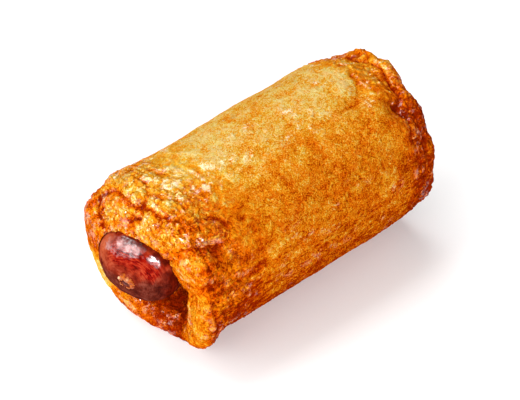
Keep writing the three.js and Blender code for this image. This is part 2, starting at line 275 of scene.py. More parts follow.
# Creases, folds and ridges: how wide the stroke is, how far it lifts the skin (negative sinks it), how
# much it browns it (negative leaves it pale), and its path of (x, around) points. A pale stroke is
# partly a painted highlight on a ridge, and a brown crease partly painted shade.
STROKES = [
    # The mouth's corner, where the dough is pleated, and the hollow below the pleat.
    (0.9, -0.9, 0.5, [(-42, 45), (-39.5, 45), (-37, 42), (-34, 39), (-31.5, 37)]),
    (0.5, -0.4, 0.4, [(-38, 50), (-37, 47), (-37.5, 44)]),
    (2.6, -0.25, 0.05, [(-34, 37), (-31, 33), (-28, 27)]),
    (1.0, 0.5, -0.6, [(-41.5, 40.5), (-40.2, 38), (-39, 36)]),
    # The side lip: its edge, the crease between its upper and lower bulge, and the valley behind it.
    (1.5, 0.8, 0.0, [(-42.3, 26), (-42, 20), (-41.8, 12)]),
    (0.8, -0.6, 0.5, [(-41.6, 13), (-40.6, 17), (-39.1, 18), (-37, 15)]),
    (1.8, 0.3, -0.5, [(-41.2, 9), (-41.2, 3), (-41.2, -6)]),
    (1.5, 0.5, -0.2, [(-41.2, -6), (-41.2, -20), (-41.3, -32)]),
    (1.3, -0.3, 0.35, [(-38, 29), (-38.2, 20), (-38.6, 9), (-38.7, 0), (-37.4, -10), (-36.6, -20)]),
    (1.2, -0.4, 0.3, [(-38, 4), (-33.7, 9), (-29, 9), (-25, 10), (-20, 12)]),
    (1.1, -0.3, 0.25, [(-34.5, -12), (-32.5, -16), (-30, -17)]),
    # Creases between the puffs on top of the mouth's end.
    (0.9, -0.7, 0.6, [
        (-42, 138), (-41.3, 122), (-41.3, 111), (-42, 103), (-42, 96), (-41.2, 92), (-39.9, 90),
    ]),
    (0.7, -0.5, 0.5, [(-39.9, 90), (-38.4, 92), (-37, 96), (-35.4, 101), (-35.6, 108)]),
    (1.0, -0.7, 0.8, [(-44.4, 100), (-44, 95), (-43.1, 90), (-42.7, 83)]),
    (0.7, 0.5, -0.5, [(-43.3, 102), (-42.7, 96), (-42.1, 91)]),
    (0.8, -0.7, 0.9, [(-41.2, 90), (-41, 84), (-40.6, 77), (-40.5, 73), (-38.5, 68)]),
    (0.7, -0.5, 0.5, [(-37.5, 93), (-36.6, 84), (-34.5, 78), (-34, 70)]),
    (0.7, -0.5, 0.6, [(-42, 70), (-39, 66), (-36, 60), (-33, 57)]),
    (0.9, -0.8, 0.5, [(-46, 143), (-44.7, 143), (-43.3, 142), (-41.5, 143), (-39.5, 146)]),
    # Short dark creases above the flank.
    (0.9, -0.5, 0.7, [(-31, 55), (-29, 52), (-27.5, 48)]),
    (0.5, -0.1, 0.4, [(-4.5, 27), (-2, 24), (2, 21)]),
    # Long fine creases along the lower flank.
    (0.6, -0.2, 0.15, [(-28, 8), (-22, 0), (-12, -4), (2, -2)]),
    (0.5, -0.15, 0.1, [(-20, -6), (-8, -9), (6, -7), (18, -8)]),
    (0.5, -0.15, 0.1, [(-6, 3), (8, 1), (22, 3), (34, 1)]),
    (0.6, -0.2, 0.15, [(-26, -14), (-12, -17), (4, -16), (20, -18), (32, -16)]),
    # The far end: the groove where the dough was gathered, the creases that run beside it and into it,
    # and pale painted highlights on the ridges between them.
    (0.6, -1.0, 1.1, [
        (42.4, 97), (42.2, 88), (41.2, 80), (39.2, 70), (38.8, 63), (38.2, 59), (35.4, 54.5),
    ]),
    (0.7, -0.9, 1.0, [(38.8, 46), (36.4, 46), (35.2, 51), (35.4, 56)]),
    (0.6, -0.7, 0.8, [(36.6, 48), (36.2, 44), (34.8, 37), (34.2, 31)]),
    (0.5, -0.6, 0.7, [(38.6, 48), (38.9, 43), (38.3, 35), (38.9, 29), (41.5, 24)]),
    (0.7, -0.5, 0.6, [(38, 27), (37.7, 23), (39, 16), (39.4, 8)]),
    (0.6, 0.35, -0.5, [(35.6, 44), (35.9, 39), (35.4, 33)]),
    (0.5, -0.5, 0.7, [(39.3, 110), (41, 108), (42.3, 105), (42.6, 101)]),
    (0.5, -0.6, 0.7, [(45, 107), (43.8, 105), (42.6, 103)]),
    (0.5, -0.4, 0.5, [(39.4, 88), (38.6, 82), (37.8, 76), (36.8, 72)]),
    (1.0, -0.7, 0.6, [(41, 112), (40.6, 124), (40, 140), (39.6, 160), (39.4, 190), (39.4, 230)]),
    (0.4, 0.35, -0.8, [(42.8, 88), (42.3, 84), (42, 81)]),
    (0.4, 0.35, -0.8, [(41.4, 77), (41, 73)]),
    (0.4, 0.35, -0.8, [(39.4, 77), (38.9, 73)]),
    (0.4, 0.35, -0.7, [(41.2, 61), (40.8, 57)]),
    (0.4, 0.35, -0.7, [(42, 97), (41.9, 92)]),
    # The soft fold that crosses the top behind the far end.
    (0.8, -0.5, 0.65, [(33.6, 93), (32, 85), (29.5, 79), (26.8, 72.4), (24.4, 71.4)]),
    (1.0, -0.35, 0.35, [(24.4, 71.4), (21, 71), (17, 70.5), (12, 71)]),
    # Fine ridges that run from the pillow to the rim, pale as painted highlights, and the creases
    # between them.
    (0.4, 0.3, -0.7, [(31.4, 69.3), (32.6, 65.5), (33.8, 62.5)]),
    (0.4, 0.3, -0.7, [(34.2, 73), (35.6, 69), (36.6, 66)]),
    (0.4, 0.3, -0.7, [(35.2, 79), (36.8, 75.5), (38, 72.8)]),
    (0.4, 0.3, -0.7, [(37.6, 84), (38.8, 80), (39.6, 77)]),
    (0.4, 0.3, -0.6, [(30, 74), (31.6, 71)]),
    (0.45, -0.35, 0.5, [(33, 76), (34.4, 72), (35.4, 69.5)]),
    (0.45, -0.35, 0.5, [(31.4, 66), (32.8, 62.5)]),
    (0.9, -0.3, 0.3, [(20, 19), (24, 19), (27, 20), (30.5, 20)]),
]

# Single spots: x, around, radius, lift, and how much browner. Pale spots are partly painted highlights
# and glints.
SPOTS = [
    # Puffs by the mouth, pale on top, partly as painted highlights.
    (-39.5, 103, 2.2, 0.5, -0.6),
    (-38, 112, 1.6, 0.3, -0.3),
    (-41, 131, 1.5, 0.5, -0.6),
    (-40.5, 138, 1.2, 0.4, -0.4),
    (-42.3, 78, 1.9, 0.5, -0.6),
    (-43.6, 82, 1.7, 0.45, -0.5),
    (-38.4, 94, 1.2, 0.5, -0.6),
    (-39, 84, 1.2, 0.5, -0.6),
    (-37.7, 76, 1.5, 0.5, -0.5),
    (-35.8, 77, 1.6, 0.5, -0.5),
    (-40, 68, 1.5, 0.4, -0.3),
    (-41.5, 60, 1.6, 0.4, -0.35),
    (-30.7, 88, 2.8, 0.3, -0.45),
    (-26.4, 100, 2.2, 0.25, -0.4),
    (-20.2, 108, 2.2, 0.2, -0.4),
    (-18.8, 89, 2.6, 0.25, -0.4),
    (-17.6, 72, 2.0, 0.2, -0.4),
    (-7, 139, 2.5, 0.2, -0.3),
    (-7, 107, 2.8, 0.15, -0.3),
    (-29.4, 121, 1.5, 0.3, -0.4),
    (-28.7, 56, 0.8, 0.4, -0.6),
    (-34.8, 60, 1.2, 0.5, -0.6),
    (-36.8, 48, 0.5, 0.4, -0.4),
    (-39.6, 47, 0.5, 0.4, -0.4),
    (-40.8, 31, 2.0, 0.25, -0.15),
    (-40, 24, 1.8, 0.15, -0.1),
    # Red places behind the mouth, with pale ones between them, some of them painted glints.
    (-28.2, 80, 2.4, -0.2, 0.25),
    (-29.3, 69, 1.0, -0.5, 0.7),
    (-21.7, 42.5, 0.5, 0.4, -0.9),
    (-22.9, 45.3, 1.0, -0.4, 0.8),
    (-20.1, 41.2, 0.9, -0.1, 0.3),
    (-12.4, 56, 1.3, -0.1, 0.5),
    (-18.3, 55, 1.2, -0.1, 0.45),
    (-15.6, 48, 1.8, -0.1, 0.45),
    (-12, 64, 1.6, 0.1, -0.35),
    (-17.9, 60, 1.0, 0.3, -0.6),
    # Pale and dark patches of the flank and the middle; some of the small pale ones are painted glints.
    (-32, 12, 1.2, 0.2, -0.4),
    (-15.5, 18, 2.8, 0.1, -0.35),
    (-12, 23, 1.8, 0.1, -0.25),
    (-25, 28, 1.6, 0.2, -0.35),
    (-1, 18, 0.7, 0.3, -0.4),
    (-2.3, 13, 0.9, 0.3, -0.5),
    (-6.1, 12.6, 0.45, -0.3, 1.0),
    (11, 39.5, 0.45, -0.3, 1.4),
    (14, 28.5, 1.3, -0.1, 0.5),
    (8, 35, 1.0, -0.1, 0.45),
    (19, 47, 2.6, -0.15, 0.3),
    (28, 50, 2.4, -0.3, 0.4),
    (36.5, 62, 1.7, 0.5, 0.2),
    (24.7, 14, 1.8, 0.25, -0.4),
    (29, 21, 1.6, -0.2, 0.4),
    (22, 26, 2.0, 0.1, 0.1),
    (11.5, 52, 2.2, 0.1, -0.35),
    (9, 60, 2.0, 0.1, -0.3),
    # The far end: the bumps and the dip of its rim, the pillow before it, and its pale places, which
    # are painted highlights and carry more oil.
    (45.3, 88, 2.0, 1.1, 0.0),
    (43.6, 113, 1.9, -0.8, 0.0),
    (43.8, 99, 1.5, 0.6, 0.0),
    (26.5, 85, 2.6, 0.6, -0.5),
    (28, 91, 2.2, 0.3, -0.3),
    (33, 88, 1.2, 0.3, -0.3),
    (43.5, 108, 0.8, 0.4, -0.9),
    (41.2, 101, 0.7, 0.3, -0.7),
    (38.8, 66, 0.8, 0.4, -0.5),
    (39.7, 58, 0.9, 0.4, -0.5),
]

# How brown the skin is by its angle around: over the body, and over the lips of the mouth. On the body
# the lower flank is browner partly as painted shade.
BODY_BROWNING_AND_SHADE = [
    (-60, 0.95), (-36, 0.9), (-20, 0.78), (0, 0.61), (20, 0.54), (40, 0.53), (58, 0.46), (76, 0.26),
    (95, 0.15), (125, 0.17), (150, 0.36), (180, 0.53), (210, 0.68), (240, 0.8), (270, 0.84),
    (300, 0.9),
]
LIP_BROWNING = [
    (-60, 0.73), (-40, 0.42), (-20, 0.37), (0, 0.41), (20, 0.5), (40, 0.54), (58, 0.52), (76, 0.49),
    (95, 0.47), (125, 0.47), (150, 0.52), (180, 0.57), (210, 0.6), (240, 0.64), (262, 0.74),
    (300, 0.79),
]

# How much browner or paler each place is, where 0 is the palest cream and 1 the darkest brown. The
# inside and pocket browning is painted shade close to and under the sausage.
BROWNER = SimpleNamespace(
    mouth=0.09, mouth_top=0.09, far_end=0.27, far_rim=0.06, back=0.06, marks=0.3, inside=0.1, pocket=0.2
)
PALER = SimpleNamespace(crests=0.17, fine_crests=0.25, edge=0.58)
PATCHES = [(0.05, 13.0, 2.2), (0.07, 4.5, 6.1)]  # how strong, how large and where in the noise
TOP_FROM = (64.0, 82.0)  # the angles at which the mouth's top begins and counts in full
BROWNEST = 0.95

# How much oil lies in each place, where 1 is fully wet.
OIL = SimpleNamespace(
    all_over=0.12, above=0.25, ends=0.3, ends_above=0.45, mouth=0.4,
    patches=0.5, crests=0.5, pale_marks=0.5, lips_below=0.5,
)
BELOW = [(225.0, 255.0), (-36.0, -52.0)]  # the angles at which the underside begins and is full


def by_angle(table, angle):
    """A value from a table of (angle, value) rows, even between them."""
    return np.interp(angle, [row[0] for row in table], [row[1] for row in table])


def around(points):
    """The angle of each point round the roll, from -60 to 300 degrees."""
    angle = np.degrees(np.arctan2(points[:, 2] - MIDDLE_Z, -points[:, 1]))
    return (angle + 60.0) % 360.0 - 60.0


def on_skin(tree, x, angle):
    """The outermost point of the dough at x and an angle around."""
    turn = math.radians(angle)
    out = Vector((0.0, -math.cos(turn), math.sin(turn)))
    return np.array(tree.ray_cast(Vector((x, 0.0, MIDDLE_Z)) + out * OUTSIDE, -out)[0])


def to_path(points, path):
    """The distance from each point to the nearest stretch of a path."""
    nearest = np.full(len(points), np.inf)
    for start, end in zip(path[:-1], path[1:]):
        run = end - start
        share = np.clip((points - start) @ run / (run @ run), 0.0, 1.0)
        off = points - start - share[:, None] * run
        nearest = np.minimum(nearest, np.linalg.norm(off, axis=1))
    return nearest


def plain_dough(sausage_tree):
    """The tube of dough, rounded and evenly faced, before it gets its relief."""
    dough = copy_of_node("dough", "fried_dough_wrap")
    worked(dough, "SUBSURF", levels=1, render_levels=1)
    worked(dough, "REMESH", mode="VOXEL", voxel_size=DOUGH_VOXEL * MM)
    worked(dough, "SMOOTH", factor=0.5, iterations=DOUGH_SMOOTHING)

    def deep_in_the_bore(middles):
        near = clearance(middles, sausage_tree)[0] < BORE_GAP
        return near & (middles[:, 0] > BORE_UNSEEN[0]) & (middles[:, 0] < BORE_UNSEEN[1])

    def at_the_ends(middles):
        past = (middles[:, 0] < FINE_ENDS[0]) | (middles[:, 0] > FINE_ENDS[1])
        clear = clearance(middles, sausage_tree)[0] > FINE_GAP
        seen = clear | (np.abs(middles[:, 0]) > RIMS)
        return past & seen & (middles[:, 2] > FOOT)

    chosen_faces(dough, deep_in_the_bore)
    bpy.ops.mesh.decimate(ratio=BORE_FACES_KEPT)
    bpy.ops.object.mode_set(mode="OBJECT")
    chosen_faces(dough, at_the_ends)
    bpy.ops.mesh.subdivide(number_cuts=1)
    bpy.ops.object.mode_set(mode="OBJECT")
    worked(dough, "SMOOTH", factor=0.5, iterations=1)
    return dough


def zones_of(points, sausage_tree):
    """Where each point of the dough is, and how much it belongs to each zone, from 0 to 1."""
    zone = SimpleNamespace(x=points[:, 0], angle=around(points))
    zone.gap, zone.inwards = clearance(points, sausage_tree)
    zone.lips = ease(*LIPS, zone.x)
    zone.mouth_end = ease(*MOUTH_END, zone.x)
    zone.far_end = ease(*FAR_END, zone.x)
    zone.ends = np.maximum(zone.mouth_end, 0.75 * zone.far_end)
    zone.flank = band(*FLANK, zone.angle)
    # The lips are smoother, except on top.
    lower = 1 - band(*UPPER, zone.angle)
    zone.rough = zone.ends * (1 - 0.7 * zone.lips * lower)
    zone.creased = np.maximum(zone.mouth_end * (1 - 0.5 * zone.lips * lower), 0.8 * zone.far_end)
    zone.inside = ease(*INSIDE_GAP, zone.gap)
    zone.free = (1 - zone.lips) * ease(*SKIN_CLEAR, zone.gap) + zone.lips * ease(*EDGE_CLEAR, zone.gap)
    return zone


def relief_of(points, zone):
    """How far the lumps, blisters and wrinkles lift each point of the dough."""
    bent = points + 0.5 * pushes(points, size=2.6)
    lumps = billows(bent, size=3.4, stretch=(0.7, 1.35, 1.35), shift=7.7)
    lines = np.abs(clouds(bent, size=1.9, stretch=(0.6, 1.5, 1.5), shift=4.9))
    wrinkles = np.maximum(0.7 - 2.4 * lines, -0.5)
    inside, own = cells(points, size=2.1, warp=0.5, shift=1.9)
    blisters = np.sqrt(np.clip(inside, 0, 1)) * (0.75 + 0.25 * own) - 0.45
    crinkles = billows(bent, size=1.1, shift=2.3)
    streaks = clouds(points, size=1.6, stretch=(5.5, 1, 1), shift=5.3)

    def height(kind, share):
        return kind[0] + kind[1] * share

    relief = SimpleNamespace(tint=np.zeros(len(points)))
    relief.swell = clouds(points, size=11.0, stretch=(1.4, 1, 1), shift=3.1)
    relief.fine = height(BLISTERS, zone.rough) * blisters
    relief.fine += height(CRINKLES, zone.rough) * crinkles
    relief.fine += height(WRINKLES, zone.rough) * wrinkles
    relief.lift = SWELL * relief.swell
    relief.lift += height(LUMPS, zone.rough) * lumps
    relief.lift += height(STREAKS, zone.flank) * streaks
    relief.lift += relief.fine
    return relief


def add_marks(relief, points, skin):
    """Adds the strokes and the spots to the relief, and how much they brown the dough to its tint."""
    wavering = points + 0.7 * pushes(points, size=3.0) + 0.25 * pushes(points + 40.0, size=1.1)
    for width, height, brown, path in STROKES:
        away = to_path(wavering, [on_skin(skin, *place) for place in path])
        broad = np.exp(-((away / (1.2 * width)) ** 2))
        sharp = np.exp(-((away / (0.5 * width)) ** 2))
        relief.lift += height * (0.7 * broad + 0.45 * sharp)
        relief.tint += brown * (0.6 * broad + 0.8 * sharp)
    for x, angle, radius, height, brown in SPOTS:
        away = np.linalg.norm(wavering - on_skin(skin, x, angle), axis=1)
        near = np.exp(-((away / radius) ** 2))
        relief.lift += height * near
        relief.tint += brown * near


def lip_closing(zone):
    """How far each point of the lip is drawn towards the sausage."""
    snug = band(*SNUG.side, zone.angle) * ease(*SNUG.along, zone.x)
    closing = snug * np.clip(zone.gap - SNUG.left, 0.0, SNUG.most) * ease(*SNUG.gap, zone.gap)
    corner = band(*LEANING.side, zone.angle) * ease(*LEANING.along, zone.x)
    closing += LEANING.most * corner * ease(*LEANING.clear, zone.gap) * ease(*LEANING.gap, zone.gap)
    return closing


def fitted(points):
    """The same points, drawn in a little where they would stand outside the solids' box."""
    low, high = (np.array(corner) / MM for corner in CAD_BOX)
    middle = (low + high) / 2
    reach = (high - low) / 2
    most = np.abs(points - middle).max(axis=0)
    return middle + (points - middle) * np.minimum(1.0, reach / most)


def browning_and_painted_light_of(points, zone, relief):
    """How brown each point is: by its place, its patches, its relief and its marks, with painted
    highlight on the crests and painted shade in the hollows and by the sausage.
    """
    lips, angle = zone.lips, zone.angle
    brown = (1 - lips) * by_angle(BODY_BROWNING_AND_SHADE, angle) + lips * by_angle(LIP_BROWNING, angle)
    mouth = BROWNER.mouth + BROWNER.mouth_top * ease(*TOP_FROM, angle)
    brown += mouth * zone.mouth_end * (1 - lips)
    brown += BROWNER.far_end * zone.far_end + BROWNER.far_rim * ease(*FAR_RIM, zone.x)
    brown += BROWNER.back * zone.ends * band(*BACK, angle)
    brown += sum(share * clouds(points, size, shift=shift) for share, size, shift in PATCHES)
    # Crests are painted paler, as painted highlight, and the hollows between them stay browner, as
    # painted shade.
    crests = relief.lift - SWELL * relief.swell
    brown -= PALER.crests * crests + PALER.fine_crests * zone.ends * relief.fine
    brown += BROWNER.marks * relief.tint

    # The lip's thin edge is pale at the back and below. The dough is browner close to the sausage, and
    # more in the pocket under it, as painted shade.
    thin = np.maximum(band(*THIN_LIP, angle), band(*LOW_RIM, angle) * ease(*RIM_GAP, zone.gap))
    pale_edge = thin * ease(*LIP_EDGE, zone.x + 0.5 * relief.swell)
    pocket = zone.inside * lips * band(*POCKET, angle)
    brown += (
        BROWNER.inside * zone.inside * (1 - pale_edge)
        - PALER.edge * pale_edge
        + BROWNER.pocket * pocket
    )
    return np.minimum(brown, BROWNEST)


def oiliness_of(points, zone, relief):
    """How much oil lies on each point: most on top of the ends, in the mouth and on crests."""
    above = band(*ABOVE, zone.angle)
    below = np.max([ease(*limits, zone.angle) for limits in BELOW], axis=0)
    oil = OIL.all_over + OIL.above * above
    oil += zone.ends * (OIL.ends + OIL.ends_above * above)
    oil += OIL.mouth * zone.inside * zone.lips
    oil += (
        OIL.patches * clouds(points, size=5.0, shift=4.7)
        + OIL.crests * relief.lift
        - OIL.pale_marks * np.minimum(relief.tint, 0)
        + OIL.lips_below * zone.lips * below
    )
    return np.clip(oil, 0, 1)


def make_dough(sausage_tree):
    dough = plain_dough(sausage_tree)
    points = points_of(dough)
    zone = zones_of(points, sausage_tree)
    relief = relief_of(points, zone)
    add_marks(relief, points, tree_of(dough))
    relief.lift = np.minimum(relief.lift * zone.free, np.maximum(zone.gap - NEAREST, 0.0))

    moved = points + normals_of(dough) * (relief.lift - DRAWN_IN * zone.free)[:, None]
    moved += zone.inwards * lip_closing(zone)[:, None]
    moved[:, 2] = np.maximum(moved[:, 2], 0.0)
    put_points(dough, fitted(moved))
    near = ease(*LIP_SMOOTHING.gap, zone.gap) * ease(*LIP_SMOOTHING.along, zone.x)
    smoothed(dough, near, iterations=LIP_SMOOTHING.times)

    paint(dough, "browning_and_painted_light", browning_and_painted_light_of(points, zone, relief))
    paint(dough, "flank", zone.flank)
    paint(dough, "creased", zone.creased)
    paint(dough, "oily", oiliness_of(points, zone, relief))
    hold(dough)
    bpy.ops.object.shade_smooth()
    return dough


# ---------------------------------------------------------------------------------------- the sausage


# The sausage's tips, and the way that each points.
TIPS = {
    "mouth": {"tip": (-48.0, -1.25, 22.8), "out": (-0.932, -0.34, -0.117)},
    "far": {"tip": (46.4, -1.0, 22.9), "out": (0.932, -0.34, -0.117)},
}
# Its skin waves a little over the domes, which begin and are full at these distances from the tips.
DOMES = (16.0, 9.0)
WAVES = [(0.1, 3.2, 8.8), (0.05, 1.2, 2.8)]  # how high, how large and where in the noise
SKIN_DRAWN_IN = 0.1
# Pleats gather round each tip, highest at a distance from it and as far as a reach to both sides.
PLEATS = SimpleNamespace(count=17, height=0.12, away=3.2, reach=1.8, wander=3.0)

# Zones of the sausage's skin by the mouth, each a path on the skin and how far it reaches from that.
RED_SKIN = (2.5, [(-48.4, 2.0, 30.4), (-46.9, -2.4, 31.1), (-44.8, -6.4, 29.8), (-44.7, -7.3, 27.8)])
TAN_SKIN = (2.6, [(-47.3, 7.3, 31.8), (-49.0, 7.2, 28.0)])
# Painted shadow: a dark zone along the upper lip's edge where the lip shades the sausage, and the
# shaded zone beside the side lip.
LIP_SHADOW_SKIN = (1.0, [(-45.4, 1.5, 34.6), (-43.3, -3.4, 34.1), (-42.0, -6.3, 32.6), (-40.6, -8.9, 29.8)])
SHADED_SKIN = (2.5, [(-40.2, -9.4, 19.5), (-39.0, -10.5, 23.0), (-39.8, -10.4, 25.6)])
WET_SKIN = [
    (2.1, [(-47.8, 5.0, 31.8), (-46.2, 0.0, 33.0), (-45.0, -2.6, 33.3)]),
    (0.85, [(-43.8, -6.1, 31.5), (-42.9, -7.9, 29.9)]),
    (0.4, [(-44.9, -4.7, 31.8), (-45.0, -4.9, 31.6)]),
]
# The underside is painted darker as painted shade, and greyer as a painted reflection of the pale
# floor.
UNDERSIDE = (29.0, 22.0)  # the skin begins to darken at the first height and is dark at the second
LEAST_GLOSS = 0.02


def around_tips(points):
    """How far each point is from the nearer tip, and its turn round that tip, in radians."""
    tip_away = np.full(len(points), np.inf)
    turn = np.zeros(len(points))
    for end in TIPS.values():
        out = np.array(end["out"])
        side = np.cross(out, (0, 0, 1))
        side /= np.linalg.norm(side)
        up = np.cross(side, out)
        off = points - np.array(end["tip"])
        away = np.linalg.norm(off, axis=1)
        nearer = away < tip_away
        tip_away = np.where(nearer, away, tip_away)
        turn = np.where(nearer, np.arctan2(off @ up, off @ side), turn)
    return tip_away, turn


def make_sausage():
    sausage = copy_of_node("sausage", "frankfurter")
    worked(sausage, "SUBSURF", levels=3, render_levels=3)
    points = points_of(sausage)
    tip_away, turn = around_tips(points)

    domed = ease(*DOMES, tip_away)
    pleats = np.sin(PLEATS.count * turn + PLEATS.wander * clouds(points, size=4.0, shift=4.4))
    lift = PLEATS.height * pleats * np.exp(-(((tip_away - PLEATS.away) / PLEATS.reach) ** 2))
    lift += sum(height * domed * clouds(points, size, shift=shift) for height, size, shift in WAVES)
    lift -= SKIN_DRAWN_IN
    put_points(sausage, points + normals_of(sausage) * lift[:, None])

    ragged = 0.25 * clouds(points, size=2.4, shift=1.1) + 0.25 * clouds(points, size=0.8, shift=5.1)

    def zone(reach, path, sharp=0.5):
        away = to_path(points, [np.array(place) for place in path]) / reach + ragged
        return ease(1.0 + sharp, 1.0 - sharp, away)

    wet = np.max([zone(*place, sharp=0.15) for place in WET_SKIN], axis=0)
    low_edge = points[:, 2] + 1.2 * clouds(points, size=3.0, shift=3.3)
    paint(sausage, "red", zone(*RED_SKIN))
    paint(sausage, "tan", zone(*TAN_SKIN))
    # The dark zones are painted shade: the lip's shadow along its edge and the shade beside the side
    # lip.
    paint(sausage, "dark", np.maximum(zone(*LIP_SHADOW_SKIN), zone(*SHADED_SKIN, sharp=0.8)))
    paint(sausage, "gloss", LEAST_GLOSS + (1 - LEAST_GLOSS) * wet)
    # Painted shade and a painted floor reflection on the underside.
    paint(sausage, "under", ease(*UNDERSIDE, low_edge))
    paint(sausage, "tip_away", tip_away)
    paint(sausage, "tip_turn", turn)
    hold(sausage)
    bpy.ops.object.shade_smooth()
    return sausage


# The shrunken end of the casing, made about 0 with its outside along Z: a ring round a knot, both
# stretched a little, with two pale spots on the ring that are painted highlights.
RING = SimpleNamespace(radius=1.55, thickness=0.62, core=1.5, inner_edge=(0.9, 1.05))
KNOT = SimpleNamespace(radius=0.85, flatness=0.8, hollow=(1.15, 0.6))
CASING_STRETCH = (1.1, 1.22)
CASING_VOXEL = 0.16
CASING_SUNK = 0.1
HIGHLIGHT_SPOTS = [(-1.8, 1.3, 0.4), (0.8, 1.9, 0.5)]
HIGHLIGHT_SPOT_RADIUS = 0.34


def make_casing_end(name, tip, out):
    """The shrunken end of the casing: a ragged ring round a twisted knot, on a tip of the sausage."""
    bpy.ops.object.select_all(action="DESELECT")
    bpy.ops.mesh.primitive_torus_add(
        major_radius=RING.radius * MM, minor_radius=RING.thickness * MM,
        major_segments=36, minor_segments=14,
    )
    ring = bpy.context.object
    ring.name = name
    bpy.ops.mesh.primitive_uv_sphere_add(radius=KNOT.radius * MM, segments=20, ring_count=12)
    bpy.ops.transform.resize(value=(1.0, 1.0, KNOT.flatness))
    ring.select_set(True)
    bpy.context.view_layer.objects.active = ring
    bpy.ops.object.join()
    worked(ring, "REMESH", mode="VOXEL", voxel_size=CASING_VOXEL * MM)
    worked(ring, "SMOOTH", factor=0.5, iterations=2)

    points = points_of(ring)
    normals = normals_of(ring)
    turn = np.arctan2(points[:, 1], points[:, 0])
    far_out = np.linalg.norm(points[:, :2], axis=1)
    # The ring is thicker on one side and thinner on the other.
    thick = 0.95 + 0.4 * np.sin(turn + 0.35)
    core = np.stack([RING.core * np.cos(turn), RING.core * np.sin(turn), 0 * turn], axis=1)
    points = points + (core - points) * ((1 - thick) * ease(*RING.inner_edge, far_out))[:, None]
    lift = 0.2 * clouds(points, size=1.2, shift=0.7) + 0.1 * clouds(points, size=0.5, shift=4.2)
    points = points + normals * lift[:, None]
    points[:, :2] *= CASING_STRETCH
    # The two pale spots on the ring are painted highlights.
    highlight_away = [np.linalg.norm(points - painted_highlight, axis=1) for painted_highlight in HIGHLIGHT_SPOTS]
    paint(ring, "hollow", ease(*KNOT.hollow, far_out))
    paint(ring, "painted_highlight", np.max([np.exp(-((away / HIGHLIGHT_SPOT_RADIUS) ** 2)) for away in highlight_away], axis=0))
    put_points(ring, points)

    out = Vector(out).normalized()
    hold(ring)
    ring.rotation_mode = "QUATERNION"
    ring.rotation_quaternion = out.to_track_quat("Z", "Y")
    ring.location = (Vector(tip) - CASING_SUNK * out) * MM
    bpy.ops.object.transform_apply(location=True, rotation=True, scale=True)
    bpy.ops.object.shade_smooth()
    return ring


# ------------------------------------------------------------------------------------------ materials


def new_material(name):
    """A material with nothing but a Principled shader on its output."""
    material = bpy.data.materials.new(name)
    material.use_nodes = True
    tree = material.node_tree
    tree.nodes.clear()
    shader = node(tree, "ShaderNodeBsdfPrincipled")
    output = node(tree, "ShaderNodeOutputMaterial")
    tree.links.new(shader.outputs[0], output.inputs["Surface"])
    return material, tree, shader


def node(tree, kind, **settings):
    made = tree.nodes.new(kind)
    for setting, value in settings.items():
        setattr(made, setting, value)
    return made


def set_sockets(made, values):
    """Gives a node's sockets constant values by their names."""
    for name, value in values.items():
        made.inputs[name].default_value = value


def attribute(tree, name):
    return node(tree, "ShaderNodeAttribute", attribute_name=name).outputs["Fac"]


def number(tree, operation, *values):
    """A Math node on sockets or plain numbers."""
    made = node(tree, "ShaderNodeMath", operation=operation)
    for socket, value in zip(made.inputs, values):
        if hasattr(value, "is_linked"):
            tree.links.new(value, socket)
        else:
            socket.default_value = value
    return made.outputs[0]


def added(tree, total, *parts):
    """A total with each (value, share) pair's value times its share added to it."""
    for value, share in parts:
        total = number(tree, "ADD", total, number(tree, "MULTIPLY", value, share))
    return total


def mixed(tree, *parts):
    """The sum of (value, share) pairs, where each value is taken from its middle of 0.5."""
    total = None
    for value, share in parts:
        part = number(tree, "MULTIPLY", number(tree, "SUBTRACT", value, 0.5), share)
        total = part if total is None else number(tree, "ADD", total, part)
    return total


def uneven_skin():
    """The node group that most of the materials' unevenness comes from: noise on Object coordinates."""
    group = bpy.data.node_groups.get("uneven_skin")
    if group:
        return group
    group = bpy.data.node_groups.new("uneven_skin", "ShaderNodeTree")
    for name in ("Size", "Detail", "Roughness", "Distortion"):
        group.interface.new_socket(name, in_out="INPUT", socket_type="NodeSocketFloat")
    group.interface.new_socket("Stretch", in_out="INPUT", socket_type="NodeSocketVector")
    group.interface.new_socket("Value", in_out="OUTPUT", socket_type="NodeSocketFloat")
    given = node(group, "NodeGroupInput").outputs
    result = node(group, "NodeGroupOutput").inputs
    squeezed = node(group, "ShaderNodeVectorMath", operation="DIVIDE")
    group.links.new(node(group, "ShaderNodeTexCoord").outputs["Object"], squeezed.inputs[0])
    group.links.new(given["Stretch"], squeezed.inputs[1])
    made = node(group, "ShaderNodeTexNoise")
    group.links.new(squeezed.outputs[0], made.inputs["Vector"])
    group.links.new(number(group, "DIVIDE", 1.0 / MM, given["Size"]), made.inputs["Scale"])
    for name in ("Detail", "Roughness", "Distortion"):
        group.links.new(given[name], made.inputs[name])
    group.links.new(made.outputs["Fac"], result["Value"])
    return group


def noise_at(tree, size, detail=2.0, roughness=0.5, distortion=0.0, stretch=(1, 1, 1)):
    """Places the shared noise, with lumps about size millimetres across."""
    made = node(tree, "ShaderNodeGroup", node_tree=uneven_skin())
    values = {"Size": size, "Detail": detail, "Roughness": roughness, "Distortion": distortion}
    set_sockets(made, {**values, "Stretch": stretch})
    return made.outputs["Value"]


def rising(tree, value, low, high):
    """0 up to low, 1 from high on, and smooth between them."""
    made = node(tree, "ShaderNodeMapRange", interpolation_type="SMOOTHSTEP")
    tree.links.new(value, made.inputs["Value"])
    set_sockets(made, {"From Min": low, "From Max": high})
    return made.outputs["Result"]


def creases_in(tree, value, narrowness):
    """1 along the lines where a noise crosses its middle, and 0 away from them."""
    off = number(tree, "MULTIPLY", number(tree, "ABSOLUTE", mixed(tree, (value, 1.0))), narrowness)
    return number(tree, "SUBTRACT", 1.0, number(tree, "MINIMUM", off, 1.0))


